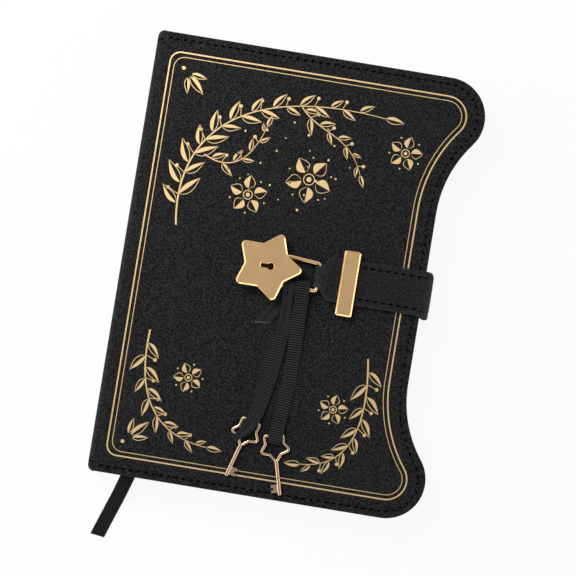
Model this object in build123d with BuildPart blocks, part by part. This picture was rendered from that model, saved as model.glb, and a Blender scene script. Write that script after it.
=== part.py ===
"""A lockable diary: sewn leaves in a leatherette case with a scooped fore-edge, a strap and a star lock.

Millimetres. The origin is under the middle of the back cover; +X is the fore-edge, +Y the head, +Z up.
"""

import math
import os

from build123d import *

os.makedirs("parts", exist_ok=True)

# Case
cover_height = 216.0
cover_width = 163.0
lobe_radius = 19.1
scoop_radius = 58.0
scoop_depth = 16.0
skin_t = 1.0
board_t = 1.2
lining_t = 0.6
rim_width = 6.5
lining_inset = 1.2
edge_round = 0.8
stitch_inset = 3.4
groove_width = 0.9
groove_depth = 0.1
spine_depth = 4.0
spine_wall = 1.4
spine_round = 3.0
spine_corner = 3.4
spine_board_t = 0.9
spine_board_margin = 0.8
hinge_gap = 0.1
board_fit = 0.1

# Leaves
head_square = 4.0
fore_square = 4.0
leaf_corner = 3.0
leaf_t = 0.2
leaf_gap = 0.1
leaf_margin = 0.5
turned_leaves = 3
section_count = 8
section_t = 1.55
section_fold = 0.7
flyleaf_t = 0.3
block_setback = 3.2
tape_width = 12.0
tape_pitch = 60.0
tape_t = 0.3
spine_lining_t = 0.3
band_radius = 1.0
band_sink = 0.3

# Bookmark ribbon
bookmark_width = 6.5
bookmark_t = 0.25
bookmark_slot = 0.4
bookmark_section = 5
bookmark_from_spine = 18.0

# Strap
strap_y = 2.4
strap_width = 21.0
layer_t = 0.9
strap_gap = 0.3
strap_standoff = 2.3
top_bend = 2.5
root_bend = 0.4
strap_split = 3.0
strap_reach = 53.5
tab_tip_width = 9.8
tab_straight = 3.4
tab_taper = 4.8
tab_back = 21.6
tab_ramp = 10.0
strap_stitch_inset = 1.9
anchor_depth = 5.4
anchor_proud = 1.2
anchor_t = 1.0
anchor_gap = 0.25

# Bar across the strap
bar_from_tip = 16.75
bar_shift = -1.1
bar_width = 7.9
bar_length = 31.6
bar_corner = 1.0
bar_t = 2.4
bar_bevel = 0.7
pin_radius = 1.0
pin_pitch = 12.0
pin_fit = 0.05

# Ring in the strap's end
ring_wire = 2.1
ring_fit = 0.25
ring_length = 19.2
ring_drop = 7.0
ring_rise_strap = 6.2
ring_rise_lock = 7.7
ring_corner_strap = 1.6
ring_corner_lock = 4.0

# Star lock
star_from_ring = 6.0
star_shift = 1.1
star_tip = 18.0
star_notch = 11.0
star_tip_round = 2.0
star_notch_round = 2.0
star_height = 4.2
star_bevel = 0.7
star_wall = 1.2
star_face = 1.1
star_clear = 0.25
plate_t = 0.9
plate_fit = 0.1
lug_wall = 0.7
lug_width = 5.0
lug_fit = 0.15
keyhole_shift = 1.6
keyhole_radius = 1.65
keyhole_slot = 4.8
keyhole_slot_width = 1.9
keyhole_bevel = 0.3
bolt_t = 1.0
bolt_width = 6.4
bolt_length = 11.6
bolt_fit = 0.05
fork_width = 2.7
fork_depth = 2.6
fork_clear = 0.25
gate_length = 5.6
gate_width = 3.8
guide_t = 0.8
guide_fit = 0.15
guide_length = 9.6
guide_height = 1.1
leaf_spring_t = 0.2
leaf_spring_width = 1.0
leaf_spring_length = 7.0
leaf_spring_shift = 2.5
strike_from_star = 6.0
stud_radius = 1.9
stud_neck = 1.2
stud_base_radius = 4.2
stud_base_t = 0.9
stud_sway = 1.3
stud_head_gap = 0.2
stud_head_t = 0.7
neck_clear = 0.25
washer_radius = 3.0
washer_t = 0.5
washer_fit = 0.1
tail_fit = 0.05

# Key ribbons and keys
ribbon_width = 6.2
ribbon_t = 0.4
ribbon_fit = 0.15
ribbon_lift = 0.15
strand_gap = 0.1
bow_slack = 3.0
key_wire = 1.5
bow_tip = 7.6
bow_notch = 4.6
bow_round = 1.1
shaft_radius = 0.95
key_reach = 23.6
bit_back = 1.4
bit_length = 4.0
bit_reach = 3.9
bit_t = 1.2
bit_notch = 1.1

# Levels and places worked out from the sizes above
half_height = cover_height / 2
half_width = cover_width / 2
fore_edge_x = half_width - scoop_depth
hinge_x = spine_depth - half_width
block_x = block_setback - half_width
leaf_edge_x = fore_edge_x - fore_square
leaf_height = cover_height - 2 * head_square
bookmark_x = block_x + bookmark_from_spine
z_back_lining = skin_t + board_t
z_block = z_back_lining + lining_t
z_sections = z_block + flyleaf_t
z_leaves = z_sections + section_count * section_t + bookmark_slot
z_front = z_leaves + turned_leaves * (leaf_gap + leaf_t) + 2 * leaf_gap
z_front_board = z_front + lining_t
z_top = z_front_board + board_t + skin_t
z_bookmark = z_sections + bookmark_section * section_t + bookmark_slot / 2

strap_z = z_top + strap_gap
strap_mid_z = strap_z + layer_t
strap_top_z = strap_mid_z + layer_t
strap_in_x = fore_edge_x + strap_standoff
split_x = fore_edge_x - strap_split
tip_x = fore_edge_x - strap_reach
root_x = fore_edge_x + anchor_proud + anchor_gap
root_z = z_back_lining - anchor_t / 2
bar_x = tip_x + bar_from_tip
bar_y = strap_y + bar_shift

wire_radius = ring_wire / 2
eye_radius = wire_radius + ring_fit
loop_radius = eye_radius + layer_t
ring_bar_x = tip_x + loop_radius
ring_lock_x = ring_bar_x - ring_length
ring_z = strap_z + loop_radius
rail_y = strap_y - ring_drop

star_x = ring_lock_x - star_from_ring
star_y = strap_y + star_shift
star_z = ring_z + wire_radius + star_clear
ceiling_z = star_z + star_height - star_face
plate_top_z = star_z + plate_t
bolt_z = plate_top_z + bolt_fit
keyhole_x = star_x + keyhole_shift
strike_x = star_x - strike_from_star
fork_x = strike_x + stud_radius + fork_clear

ribbon_z = z_top + ribbon_lift + ribbon_t / 2
strand_z = ribbon_z + ribbon_t + strand_gap
rail_turn = wire_radius + ribbon_fit + ribbon_t / 2
bow_turn = key_wire / 2 + ribbon_fit + ribbon_t / 2
key_z = ribbon_z + bow_turn


def cover_outline(left_x):
    """Plan of a cover: straight head and tail, round lobes and a fore-edge scooped in between them."""
    lobe_x = half_width - lobe_radius
    lobe_y = half_height - lobe_radius
    across = fore_edge_x + scoop_radius - lobe_x
    rise = math.sqrt((scoop_radius + lobe_radius) ** 2 - across**2)
    turn = math.degrees(math.atan2(rise, across))
    with BuildSketch() as plan:
        with BuildLine():
            straight = Line((fore_edge_x, 0), (fore_edge_x, lobe_y - rise))
            scoop = JernArc(straight @ 1, (0, 1), scoop_radius, -turn)
            lobe = JernArc(scoop @ 1, scoop % 1, lobe_radius, 90 + turn)
            head = Line(lobe @ 1, (left_x, half_height))
            Line(head @ 1, (left_x, 0))
            mirror(about=Plane.XZ)
        make_face()
    return plan.sketch


def inset(sketch, amount):
    """The same outline drawn in by an amount all round."""
    with BuildSketch() as smaller:
        add(sketch)
        offset(amount=-amount)
    return smaller.sketch


def star_corners(tip, notch):
    """Corners of a five-pointed star with one point towards +X: points and notches in turn."""
    reaches = [tip, notch] * 5
    return [(r * math.cos(k * math.pi / 5), r * math.sin(k * math.pi / 5)) for k, r in enumerate(reaches)]


def star_outline(shrink=0.0):
    """Plan of the star lock, its points and notches rounded, drawn in by an amount if one is given."""
    with BuildSketch() as plan:
        with BuildLine():
            rounds = [star_tip_round, star_notch_round] * 5
            FilletPolyline(*star_corners(star_tip, star_notch), radius=rounds, close=True)
        make_face()
        if shrink:
            offset(amount=-shrink)
    return plan.sketch


def route_radii(points):
    """The bend at each corner of a ribbon's route: as large as the shorter run beside it allows."""
    radii = []
    for before, corner, after in zip(points, points[1:], points[2:]):
        run_in = Vector(*corner) - Vector(*before)
        run_out = Vector(*after) - Vector(*corner)
        half_turn = math.radians(run_in.get_angle(run_out)) / 2
        radii.append(0.45 * min(run_in.length, run_out.length) / math.tan(half_turn))
    return radii


def finish(piece, name):
    """Label a finished piece and write it."""
    piece.part.label = name
    export_step(piece.part, f"parts/{name}.step")


cover_plan = cover_outline(hinge_x + hinge_gap)
stitched_plan = cover_outline(-2 * cover_width)
pocket_plan = inset(cover_plan, rim_width)
board_plan = inset(cover_plan, rim_width + board_fit)
lining_plan = inset(cover_plan, lining_inset)
groove_outer = inset(stitched_plan, stitch_inset - groove_width / 2)
groove_inner = inset(stitched_plan, stitch_inset + groove_width / 2)
with BuildSketch() as groove:
    add(groove_outer)
    add(groove_inner, mode=Mode.SUBTRACT)

back_plane = Plane((0, 0, z_back_lining), x_dir=(1, 0, 0), z_dir=(0, 0, -1))
front_plane = Plane((0, 0, z_front_board), x_dir=(1, 0, 0), z_dir=(0, 0, 1))


def cover_skin(plane):
    """A cover's outer skin: a tray with a pocket for the board, rounded edges and a sunk stitch line."""
    with BuildPart() as skin:
        with BuildSketch(plane):
            add(cover_plan)
        extrude(amount=board_t + skin_t)
        outer = skin.faces().sort_by(Axis((0, 0, 0), plane.z_dir))[-1]
        fillet(outer.edges().filter_by(lambda e: e.center().X > hinge_x + lining_inset), edge_round)
        with BuildSketch(plane):
            add(pocket_plan)
        extrude(amount=board_t, mode=Mode.SUBTRACT)
        with BuildSketch(plane.offset(board_t + skin_t - groove_depth)):
            add(groove.sketch)
        extrude(amount=groove_depth, mode=Mode.SUBTRACT)
    return skin


# Back cover
back_skin = cover_skin(back_plane)
with BuildPart() as back_cover_skin:
    add(back_skin.part)
    with BuildSketch(Plane.XY.offset(z_back_lining - anchor_t)):
        with Locations((fore_edge_x, strap_y)):
            Rectangle(2 * anchor_depth, strap_width)
    extrude(amount=anchor_t, mode=Mode.SUBTRACT)
finish(back_cover_skin, "back_cover_skin")

with BuildPart() as back_cover_board:
    with BuildSketch(Plane.XY.offset(skin_t)):
        add(board_plan)
    extrude(amount=board_t)
finish(back_cover_board, "back_cover_board")

with BuildPart() as back_cover_lining:
    with BuildSketch(Plane.XY.offset(z_back_lining)):
        add(lining_plan)
    extrude(amount=lining_t)
finish(back_cover_lining, "back_cover_lining")

# The strap's end, sewn between the back cover's skin and lining
with BuildPart() as strap_anchor:
    with BuildSketch(Plane.XY.offset(z_back_lining - anchor_t)):
        with Locations((fore_edge_x, strap_y)):
            Rectangle(anchor_depth, strap_width, align=(Align.MAX, Align.CENTER))
            Rectangle(anchor_proud, strap_width, align=(Align.MIN, Align.CENTER))
    extrude(amount=anchor_t)
finish(strap_anchor, "strap_anchor")

# Spine
with BuildPart() as spine_skin:
    with BuildSketch(Plane.XZ):
        with BuildLine():
            Polyline(
                (hinge_x, 0),
                (-half_width, 0),
                (-half_width, z_top),
                (hinge_x, z_top),
                (hinge_x, z_front),
                (spine_wall - half_width, z_front),
                (spine_wall - half_width, z_block),
                (hinge_x, z_block),
                close=True,
            )
        make_face()
    extrude(amount=half_height, both=True)
    outer_corners = spine_skin.edges().filter_by(Axis.Y).group_by(Axis.X)[0]
    fillet(outer_corners, spine_round)
    with BuildSketch():
        with BuildLine():
            FilletPolyline(
                (hinge_x, half_height),
                (-half_width, half_height),
                (-half_width, -half_height),
                (hinge_x, -half_height),
                radius=spine_corner,
            )
            Line((hinge_x, -half_height), (hinge_x, half_height))
        make_face()
    extrude(amount=z_top, mode=Mode.INTERSECT)
finish(spine_skin, "spine_skin")

with BuildPart() as spine_board:
    with BuildSketch(Plane.XY.offset(z_block + spine_board_margin)):
        with Locations((spine_wall - half_width, 0)):
            Rectangle(spine_board_t, leaf_height, align=(Align.MIN, Align.CENTER))
    extrude(amount=z_front - z_block - 2 * spine_board_margin)
finish(spine_board, "spine_board")


# Leaves
def leaf_outline(left_x, right_x):
    """Plan of a leaf or section, its fore-edge corners rounded."""
    with BuildSketch() as plan:
        with Locations((left_x, 0)):
            Rectangle(right_x - left_x, leaf_height, align=(Align.MIN, Align.CENTER))
        fillet(plan.vertices().group_by(Axis.X)[-1], leaf_corner)
    return plan.sketch


section_plan = leaf_outline(block_x, leaf_edge_x)
turned_plan = leaf_outline(hinge_x + leaf_margin, leaf_edge_x)

with BuildPart() as back_flyleaf:
    with BuildSketch(Plane.XY.offset(z_block)):
        add(section_plan)
    extrude(amount=flyleaf_t)
finish(back_flyleaf, "back_flyleaf")

for index in range(section_count):
    above_bookmark = bookmark_slot if index >= bookmark_section else 0
    with BuildPart() as section:
        with BuildSketch(Plane.XY.offset(z_sections + index * section_t + above_bookmark)):
            add(section_plan)
        extrude(amount=section_t)
        fillet(section.edges().filter_by(Axis.Y).group_by(Axis.X)[0], section_fold)
    finish(section, f"section_{index + 1}")

for index in range(turned_leaves):
    with BuildPart() as leaf:
        with BuildSketch(Plane.XY.offset(z_leaves + leaf_gap + index * (leaf_gap + leaf_t))):
            add(turned_plan)
        extrude(amount=leaf_t)
    finish(leaf, "front_flyleaf" if index == turned_leaves - 1 else f"turned_leaf_{index + 1}")

block_rise = z_leaves - z_sections
with BuildPart() as sewing_tapes:
    with BuildSketch(Plane.XY.offset(z_sections)):
        with Locations([(block_x, k * tape_pitch) for k in (-1, 0, 1)]):
            Rectangle(tape_t, tape_width, align=(Align.MAX, Align.CENTER))
    extrude(amount=block_rise)
finish(sewing_tapes, "sewing_tapes")

with BuildPart() as spine_lining:
    with BuildSketch(Plane.XY.offset(z_sections)):
        with Locations((block_x - tape_t, 0)):
            Rectangle(spine_lining_t, leaf_height, align=(Align.MAX, Align.CENTER))
    extrude(amount=block_rise)
finish(spine_lining, "spine_lining")

for side, name in ((1, "head_band"), (-1, "tail_band")):
    with BuildPart() as band:
        with BuildSketch(Plane.XY.offset(z_sections)):
            with Locations((block_x + band_radius, side * (leaf_height / 2 + band_sink))):
                Circle(band_radius)
            Rectangle(cover_width, leaf_height, mode=Mode.SUBTRACT)
        extrude(amount=block_rise)
    finish(band, name)

# Bookmark ribbon: the part between the sections, then the free end that falls to the table
with BuildPart() as bookmark_ribbon:
    with BuildSketch(Plane.XY.offset(z_bookmark - bookmark_t / 2)):
        with Locations((bookmark_x, 0)):
            Rectangle(bookmark_width, leaf_height)
    extrude(amount=bookmark_t)
finish(bookmark_ribbon, "bookmark_ribbon")

tail_y = -leaf_height / 2
bookmark_fall = [
    (tail_y, z_bookmark),
    (tail_y - 5.5, z_bookmark - 0.5),
    (tail_y - 11.0, z_bookmark - 4.0),
    (tail_y - 17.0, 1.6),
    (tail_y - 24.0, 0.5),
    (tail_y - 39.6, 0.4),
]
bookmark_lie = [(bookmark_x + 0.9, tail_y + 3.0), (bookmark_x - 12.2, tail_y - 38.0)]
bookmark_radii = route_radii(bookmark_fall)
print("bookmark bends", [round(r, 1) for r in bookmark_radii])
with BuildPart() as bookmark_tail:
    with BuildSketch(Plane.YZ):
        with BuildLine():
            FilletPolyline(*bookmark_fall, radius=bookmark_radii)
        trace(line_width=bookmark_t)
    extrude(amount=cover_width, both=True)
    with BuildSketch():
        with BuildLine():
            Line(*bookmark_lie)
        trace(line_width=bookmark_width)
    extrude(amount=z_top, mode=Mode.INTERSECT)
finish(bookmark_tail, "bookmark_tail")

# Front cover
front_skin = cover_skin(front_plane)
with BuildPart() as front_cover_skin:
    add(front_skin.part)
    with Locations((strike_x, star_y, z_top)):
        Hole(stud_neck + tail_fit)
finish(front_cover_skin, "front_cover_skin")

with BuildPart() as front_cover_board:
    with BuildSketch(Plane.XY.offset(z_front_board)):
        add(board_plan)
        with Locations((strike_x, star_y)):
            Circle(stud_neck + tail_fit, mode=Mode.SUBTRACT)
    extrude(amount=board_t)
finish(front_cover_board, "front_cover_board")

with BuildPart() as front_cover_lining:
    with BuildSketch(Plane.XY.offset(z_front)):
        add(lining_plan)
        with Locations((strike_x, star_y)):
            Circle(washer_radius + washer_fit, mode=Mode.SUBTRACT)
    extrude(amount=lining_t)
finish(front_cover_lining, "front_cover_lining")

# Strike stud on the cover, with a neck that the bolt closes on, and its washer inside
stud_top_z = ceiling_z - stud_head_gap
neck_low_z = plate_top_z - neck_clear
neck_high_z = stud_top_z - stud_head_t
with BuildPart() as strike_stud:
    with BuildSketch(Plane.XZ.offset(-star_y)):
        with BuildLine():
            Polyline(
                (strike_x, z_front_board - washer_t),
                (strike_x + stud_neck, z_front_board - washer_t),
                (strike_x + stud_neck, z_top),
                (strike_x + stud_base_radius, z_top),
                (strike_x + stud_base_radius, z_top + stud_base_t / 2),
                (strike_x + stud_radius, z_top + stud_base_t),
                (strike_x + stud_radius, neck_low_z),
                (strike_x + stud_neck, neck_low_z),
                (strike_x + stud_neck, neck_high_z),
                (strike_x + stud_radius, neck_high_z),
                (strike_x + stud_neck, stud_top_z),
                (strike_x, stud_top_z),
                close=True,
            )
        make_face()
    revolve(axis=Axis((strike_x, star_y, 0), (0, 0, 1)))
finish(strike_stud, "strike_stud")

with BuildPart() as strike_washer:
    with BuildSketch(Plane.XY.offset(z_front_board - washer_t)):
        with Locations((strike_x, star_y)):
            Circle(washer_radius)
            Circle(stud_neck + tail_fit, mode=Mode.SUBTRACT)
    extrude(amount=washer_t)
finish(strike_washer, "strike_washer")

# Strap round the fore-edge: skin outside, lining inside
strap_plane = Plane.XZ.offset(-strap_y)
layers = (
    ("strap_side_lining", 0.5, root_z + layer_t / 2),
    ("strap_side_skin", 1.5, root_z - layer_t / 2),
)
for name, depth, low_z in layers:
    side_x = strap_in_x + depth * layer_t
    over_z = strap_z + depth * layer_t
    bends = (root_bend + depth * layer_t, top_bend + depth * layer_t)
    with BuildPart() as strap_side:
        with BuildSketch(strap_plane):
            with BuildLine():
                FilletPolyline(
                    (root_x, low_z), (side_x, low_z), (side_x, over_z), (split_x, over_z), radius=bends
                )
            trace(line_width=layer_t)
        extrude(amount=strap_width / 2, both=True)
    finish(strap_side, name)

# Strap over the front cover: the skin runs on to a tapered tab, folded round the ring and glued under itself
tab_back_x = tip_x + tab_back
ramp = Vector(tip_x + tab_ramp, strap_top_z)
eye = Vector(ring_bar_x, ring_z)
to_eye = eye - ramp
ramp_angle = math.atan2(to_eye.Y, to_eye.X) - math.asin(loop_radius / to_eye.length)
ramp_length = math.sqrt(to_eye.length**2 - loop_radius**2)
ramp_end = ramp + Vector(math.cos(ramp_angle), math.sin(ramp_angle)) * ramp_length
strap_half = strap_width / 2
tab_half = tab_tip_width / 2
with BuildPart() as strap_top_skin:
    with BuildSketch(strap_plane):
        with BuildLine():
            rise = Line((ramp.X, ramp.Y), (ramp_end.X, ramp_end.Y))
            turn = ThreePointArc(rise @ 1, (tip_x, ring_z), (ring_bar_x, strap_z))
            Polyline(
                turn @ 1,
                (tab_back_x, strap_z),
                (tab_back_x, strap_mid_z),
                (split_x - hinge_gap, strap_mid_z),
                (split_x - hinge_gap, strap_top_z),
                rise @ 0,
            )
        make_face()
        with Locations((ring_bar_x, ring_z)):
            Circle(eye_radius, mode=Mode.SUBTRACT)
    extrude(amount=strap_half, both=True)
    with BuildSketch(Plane.XY.offset(strap_z)):
        with BuildLine():
            Polyline(
                (tip_x, strap_y + tab_half),
                (tip_x + tab_straight, strap_y + tab_half),
                (tip_x + tab_straight + tab_taper, strap_y + strap_half),
                (split_x, strap_y + strap_half),
                (split_x, strap_y - strap_half),
                (tip_x + tab_straight + tab_taper, strap_y - strap_half),
                (tip_x + tab_straight, strap_y - tab_half),
                (tip_x, strap_y - tab_half),
                close=True,
            )
        make_face()
    extrude(amount=2 * loop_radius, mode=Mode.INTERSECT)
    with Locations((bar_x, bar_y, strap_top_z)):
        with GridLocations(1, pin_pitch, 1, 2):
            Hole(pin_radius + pin_fit)
    with BuildSketch(Plane.XY.offset(strap_top_z)):
        stitch_length = split_x - bar_x - bar_width / 2
        with Locations((split_x - stitch_length / 2, strap_y)):
            with GridLocations(1, strap_width - 2 * strap_stitch_inset, 1, 2):
                Rectangle(stitch_length, groove_width)
    extrude(amount=-groove_depth, mode=Mode.SUBTRACT)
finish(strap_top_skin, "strap_top_skin")

with BuildPart() as strap_top_lining:
    with BuildSketch(Plane.XY.offset(strap_z)):
        with Locations((tab_back_x + hinge_gap, strap_y)):
            lining_length = split_x - tab_back_x - 2 * hinge_gap
            Rectangle(lining_length, strap_width, align=(Align.MIN, Align.CENTER))
    extrude(amount=layer_t)
finish(strap_top_lining, "strap_top_lining")

# Gold bar across the strap, held by two pins
with BuildPart() as strap_bar:
    with BuildSketch(Plane.XY.offset(strap_top_z)):
        with Locations((bar_x, bar_y)):
            RectangleRounded(bar_width, bar_length, bar_corner)
    extrude(amount=bar_t)
    chamfer(strap_bar.faces().sort_by(Axis.Z)[-1].edges(), bar_bevel)
finish(strap_bar, "strap_bar")

with BuildPart() as bar_pins:
    with BuildSketch(Plane.XY.offset(strap_z)):
        with Locations((bar_x, bar_y)):
            with GridLocations(1, pin_pitch, 1, 2):
                Circle(pin_radius)
    extrude(amount=strap_top_z - strap_z)
finish(bar_pins, "bar_pins")

# Ring that joins the strap's tab to the lock
with BuildPart() as clasp_ring:
    with BuildLine(Plane.XY.offset(ring_z)) as ring_path:
        FilletPolyline(
            (ring_lock_x, rail_y),
            (ring_bar_x, rail_y),
            (ring_bar_x, strap_y + ring_rise_strap),
            (ring_lock_x, strap_y + ring_rise_lock),
            radius=(ring_corner_lock, ring_corner_strap, ring_corner_strap, ring_corner_lock),
            close=True,
        )
    with BuildSketch(Plane(origin=ring_path.line @ 0, z_dir=ring_path.line % 0)):
        Circle(wire_radius)
    sweep()
finish(clasp_ring, "clasp_ring")

# Star lock: a hollow face, and a back plate with the ring's lug and the bolt's guides
star_plane = Plane((star_x, star_y, star_z))
with BuildPart() as star_face_shell:
    with BuildSketch(star_plane):
        add(star_outline())
    extrude(amount=star_height)
    chamfer(star_face_shell.faces().sort_by(Axis.Z)[-1].edges(), star_bevel)
    with BuildSketch(star_plane):
        add(star_outline(star_wall))
    extrude(amount=star_height - star_face, mode=Mode.SUBTRACT)
    with BuildSketch(star_plane):
        with Locations((keyhole_shift, 0)):
            Circle(keyhole_radius)
            Rectangle(keyhole_slot, keyhole_slot_width, align=(Align.MAX, Align.CENTER))
    extrude(amount=star_height, mode=Mode.SUBTRACT)
    chamfer(star_face_shell.faces().sort_by(Axis.Z)[-1].inner_wires().edges(), keyhole_bevel)
finish(star_face_shell, "star_face")

lug_radius = wire_radius + lug_fit + lug_wall
with BuildPart() as star_back_plate:
    with BuildSketch(star_plane):
        add(star_outline(star_wall + plate_fit))
        with Locations((-strike_from_star, 0)):
            Circle(stud_radius + stud_sway, mode=Mode.SUBTRACT)
    extrude(amount=plate_t)
    with BuildSketch(Plane.XY.offset(plate_top_z)):
        guide_y = bolt_width / 2 + guide_fit + guide_t / 2
        with Locations((fork_x + bolt_length / 2, star_y)):
            with GridLocations(1, 2 * guide_y, 1, 2):
                Rectangle(guide_length, guide_t)
    extrude(amount=guide_height)
    with BuildSketch(strap_plane):
        with Locations((ring_lock_x, ring_z)):
            Circle(lug_radius)
            Rectangle(2 * lug_radius, star_z - ring_z, align=(Align.CENTER, Align.MIN))
    extrude(amount=lug_width / 2, both=True)
    with BuildSketch(strap_plane):
        with Locations((ring_lock_x, ring_z)):
            Circle(wire_radius + lug_fit)
    extrude(amount=lug_width, both=True, mode=Mode.SUBTRACT)
finish(star_back_plate, "star_back_plate")

# Bolt: a forked slide that closes on the stud's neck, with a gate for the key's bit
with BuildPart() as lock_bolt:
    with BuildSketch(Plane.XY.offset(bolt_z)):
        with Locations((fork_x, star_y)):
            Rectangle(bolt_length, bolt_width, align=(Align.MIN, Align.CENTER))
            SlotOverall(2 * fork_depth, fork_width, mode=Mode.SUBTRACT)
        with Locations((keyhole_x, star_y)):
            SlotOverall(gate_length, gate_width, mode=Mode.SUBTRACT)
    extrude(amount=bolt_t)
finish(lock_bolt, "lock_bolt")

# Leaf spring between the bolt and the lock's face, which keeps the bolt where the key leaves it
spring_low_z = bolt_z + bolt_t + bolt_fit + leaf_spring_t / 2
spring_high_z = ceiling_z - bolt_fit - leaf_spring_t / 2
with BuildPart() as bolt_spring:
    with BuildSketch(Plane.XZ.offset(-star_y - leaf_spring_shift)):
        with BuildLine():
            ThreePointArc(
                (keyhole_x - leaf_spring_length / 2, spring_high_z),
                (keyhole_x, spring_low_z),
                (keyhole_x + leaf_spring_length / 2, spring_high_z),
            )
        trace(line_width=leaf_spring_t)
    extrude(amount=leaf_spring_width / 2, both=True)
finish(bolt_spring, "bolt_spring")

# Key ribbons: each goes round the ring's lower rail, over its key's bow and back under itself
ribbon_from_bar = {"left": 12.5, "right": 6.0}
ribbon_rail_x = {side: ring_bar_x - gap for side, gap in ribbon_from_bar.items()}
ribbon_lies = {
    "left": [(0.0, 3.0), (0.2, -17.0), (-1.5, -35.5), (-6.4, -58.0), (-9.0, -71.0)],
    "right": [(0.0, 3.0), (1.0, -27.0), (0.9, -48.0), (-1.3, -63.0), (-2.3, -76.5)],
}
bow_drop = {"left": 68.0, "right": 73.0}
tail_reach = {"left": 18.0, "right": 14.0}
return_reach = {"left": 10.0, "right": 13.0}
key_lean = {"left": -16.0, "right": 15.2}
bow_shift = {"left": -8.35, "right": -2.8}
bit_side = {"left": 1, "right": -1}


def ribbon_rise(side):
    """A ribbon seen from the side: (Y, Z) along its tail, the rail, the main strand and the key's bow."""
    bow_y = rail_y - bow_drop[side]
    return [
        (rail_y - tail_reach[side], ribbon_z),
        (rail_y - 7.0, ribbon_z + 0.05),
        (rail_y + rail_turn, ring_z - rail_turn),
        (rail_y + rail_turn, ring_z + rail_turn),
        (rail_y - 3.0, ring_z + rail_turn),
        (rail_y - 11.0, strand_z + 0.4),
        (rail_y - 22.0, strand_z),
        (rail_y - 45.0, strand_z - 0.3),
        (bow_y + 8.0, strand_z + 0.05),
        (bow_y + 3.4, key_z + bow_turn),
        (bow_y - bow_slack, key_z + bow_turn),
        (bow_y - bow_slack, key_z - bow_turn),
        (bow_y + return_reach[side], ribbon_z),
    ]


for side in ("left", "right"):
    rise_points = ribbon_rise(side)
    rise_radii = route_radii(rise_points)
    lie_points = [(ribbon_rail_x[side] + x, rail_y + y) for x, y in ribbon_lies[side]]
    lie_radii = route_radii(lie_points)
    print(side, "ribbon bends", [round(r, 1) for r in rise_radii], [round(r, 1) for r in lie_radii])
    with BuildPart() as ribbon:
        with BuildSketch(Plane.YZ):
            with BuildLine():
                FilletPolyline(*rise_points, radius=rise_radii)
            trace(line_width=ribbon_t)
        extrude(amount=half_width, both=True)
        with BuildSketch(Plane.XY.offset(z_top)):
            with BuildLine():
                FilletPolyline(*lie_points, radius=lie_radii)
            trace(line_width=ribbon_width)
        extrude(amount=2 * loop_radius + layer_t, mode=Mode.INTERSECT)
    finish(ribbon, f"ribbon_{side}")

# Keys: a star bow bent from wire, a round shaft and a notched bit
for side in ("left", "right"):
    lean = math.radians(key_lean[side])
    along = Vector(math.sin(lean), -math.cos(lean), 0)
    notch_point = Vector(ribbon_rail_x[side] + bow_shift[side], rail_y - bow_drop[side], key_z)
    key_plane = Plane(notch_point + along * bow_notch, x_dir=along, z_dir=(0, 0, 1))
    bit_edge = bit_side[side] * bit_reach
    bit_x = key_reach - bit_back - bit_length / 2
    with BuildPart() as key:
        with BuildLine(key_plane) as bow_path:
            FilletPolyline(*star_corners(bow_tip, bow_notch), radius=bow_round, close=True)
        with BuildSketch(Plane(origin=bow_path.line @ 0, z_dir=bow_path.line % 0)):
            Circle(key_wire / 2)
        sweep()
        with BuildSketch(Plane(origin=key_plane.from_local_coords((bow_tip - bow_round, 0, 0)), z_dir=along)):
            Circle(shaft_radius)
        extrude(amount=key_reach - bow_tip + bow_round)
        chamfer(key.faces().sort_by(Axis((0, 0, 0), (along.X, along.Y, 0)))[-1].edges(), shaft_radius / 3)
        with BuildSketch(key_plane.offset(-bit_t / 2)):
            with Locations((bit_x, bit_edge / 2)):
                Rectangle(bit_length, abs(bit_edge))
            with Locations((bit_x, bit_edge)):
                Rectangle(bit_notch, 2 * bit_notch, mode=Mode.SUBTRACT)
        extrude(amount=bit_t)
    finish(key, f"key_{side}")

print("hinge of the cover", hinge_x, z_top + hinge_gap)
print("strap root", root_x, root_z - layer_t, "strap bend", split_x, strap_top_z + hinge_gap / 2)
print("ring bar", ring_bar_x, ring_z, "rail", rail_y, ring_z)
print("key notches", rail_y - bow_drop["left"], rail_y - bow_drop["right"], key_z)
print("top of the cover", z_top, "star", star_x, star_y, star_z)
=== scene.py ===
"""A lockable diary, dressed on its fixed frame: leather, stitching, foil, strap, ribbons, lock and keys."""

import math

import bpy
import numpy as np
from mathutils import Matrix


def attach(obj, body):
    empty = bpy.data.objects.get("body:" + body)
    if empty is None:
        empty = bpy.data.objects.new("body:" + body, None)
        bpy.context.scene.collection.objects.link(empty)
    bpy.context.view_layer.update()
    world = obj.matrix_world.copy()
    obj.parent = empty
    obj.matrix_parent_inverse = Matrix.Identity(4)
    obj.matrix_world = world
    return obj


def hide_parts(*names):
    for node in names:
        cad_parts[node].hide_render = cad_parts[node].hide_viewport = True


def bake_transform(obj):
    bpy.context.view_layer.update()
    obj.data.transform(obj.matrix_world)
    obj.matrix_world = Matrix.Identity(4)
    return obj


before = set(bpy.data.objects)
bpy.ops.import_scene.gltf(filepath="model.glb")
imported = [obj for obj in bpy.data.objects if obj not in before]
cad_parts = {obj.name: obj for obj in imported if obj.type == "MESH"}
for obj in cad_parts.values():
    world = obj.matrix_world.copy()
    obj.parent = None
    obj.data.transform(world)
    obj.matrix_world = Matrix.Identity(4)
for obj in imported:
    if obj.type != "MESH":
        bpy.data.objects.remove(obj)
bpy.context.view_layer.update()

bl_info = {
    "name": "Lockable diary",
    "version": (1, 0, 0),
    "blender": (4, 5, 0),
    "location": "3D View > Sidebar > Diary",
    "description": "Dresses the lockable diary's frame with leather, stitching, foil, ribbons and metal",
    "category": "Add Mesh",
}

MM = 0.001

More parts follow.
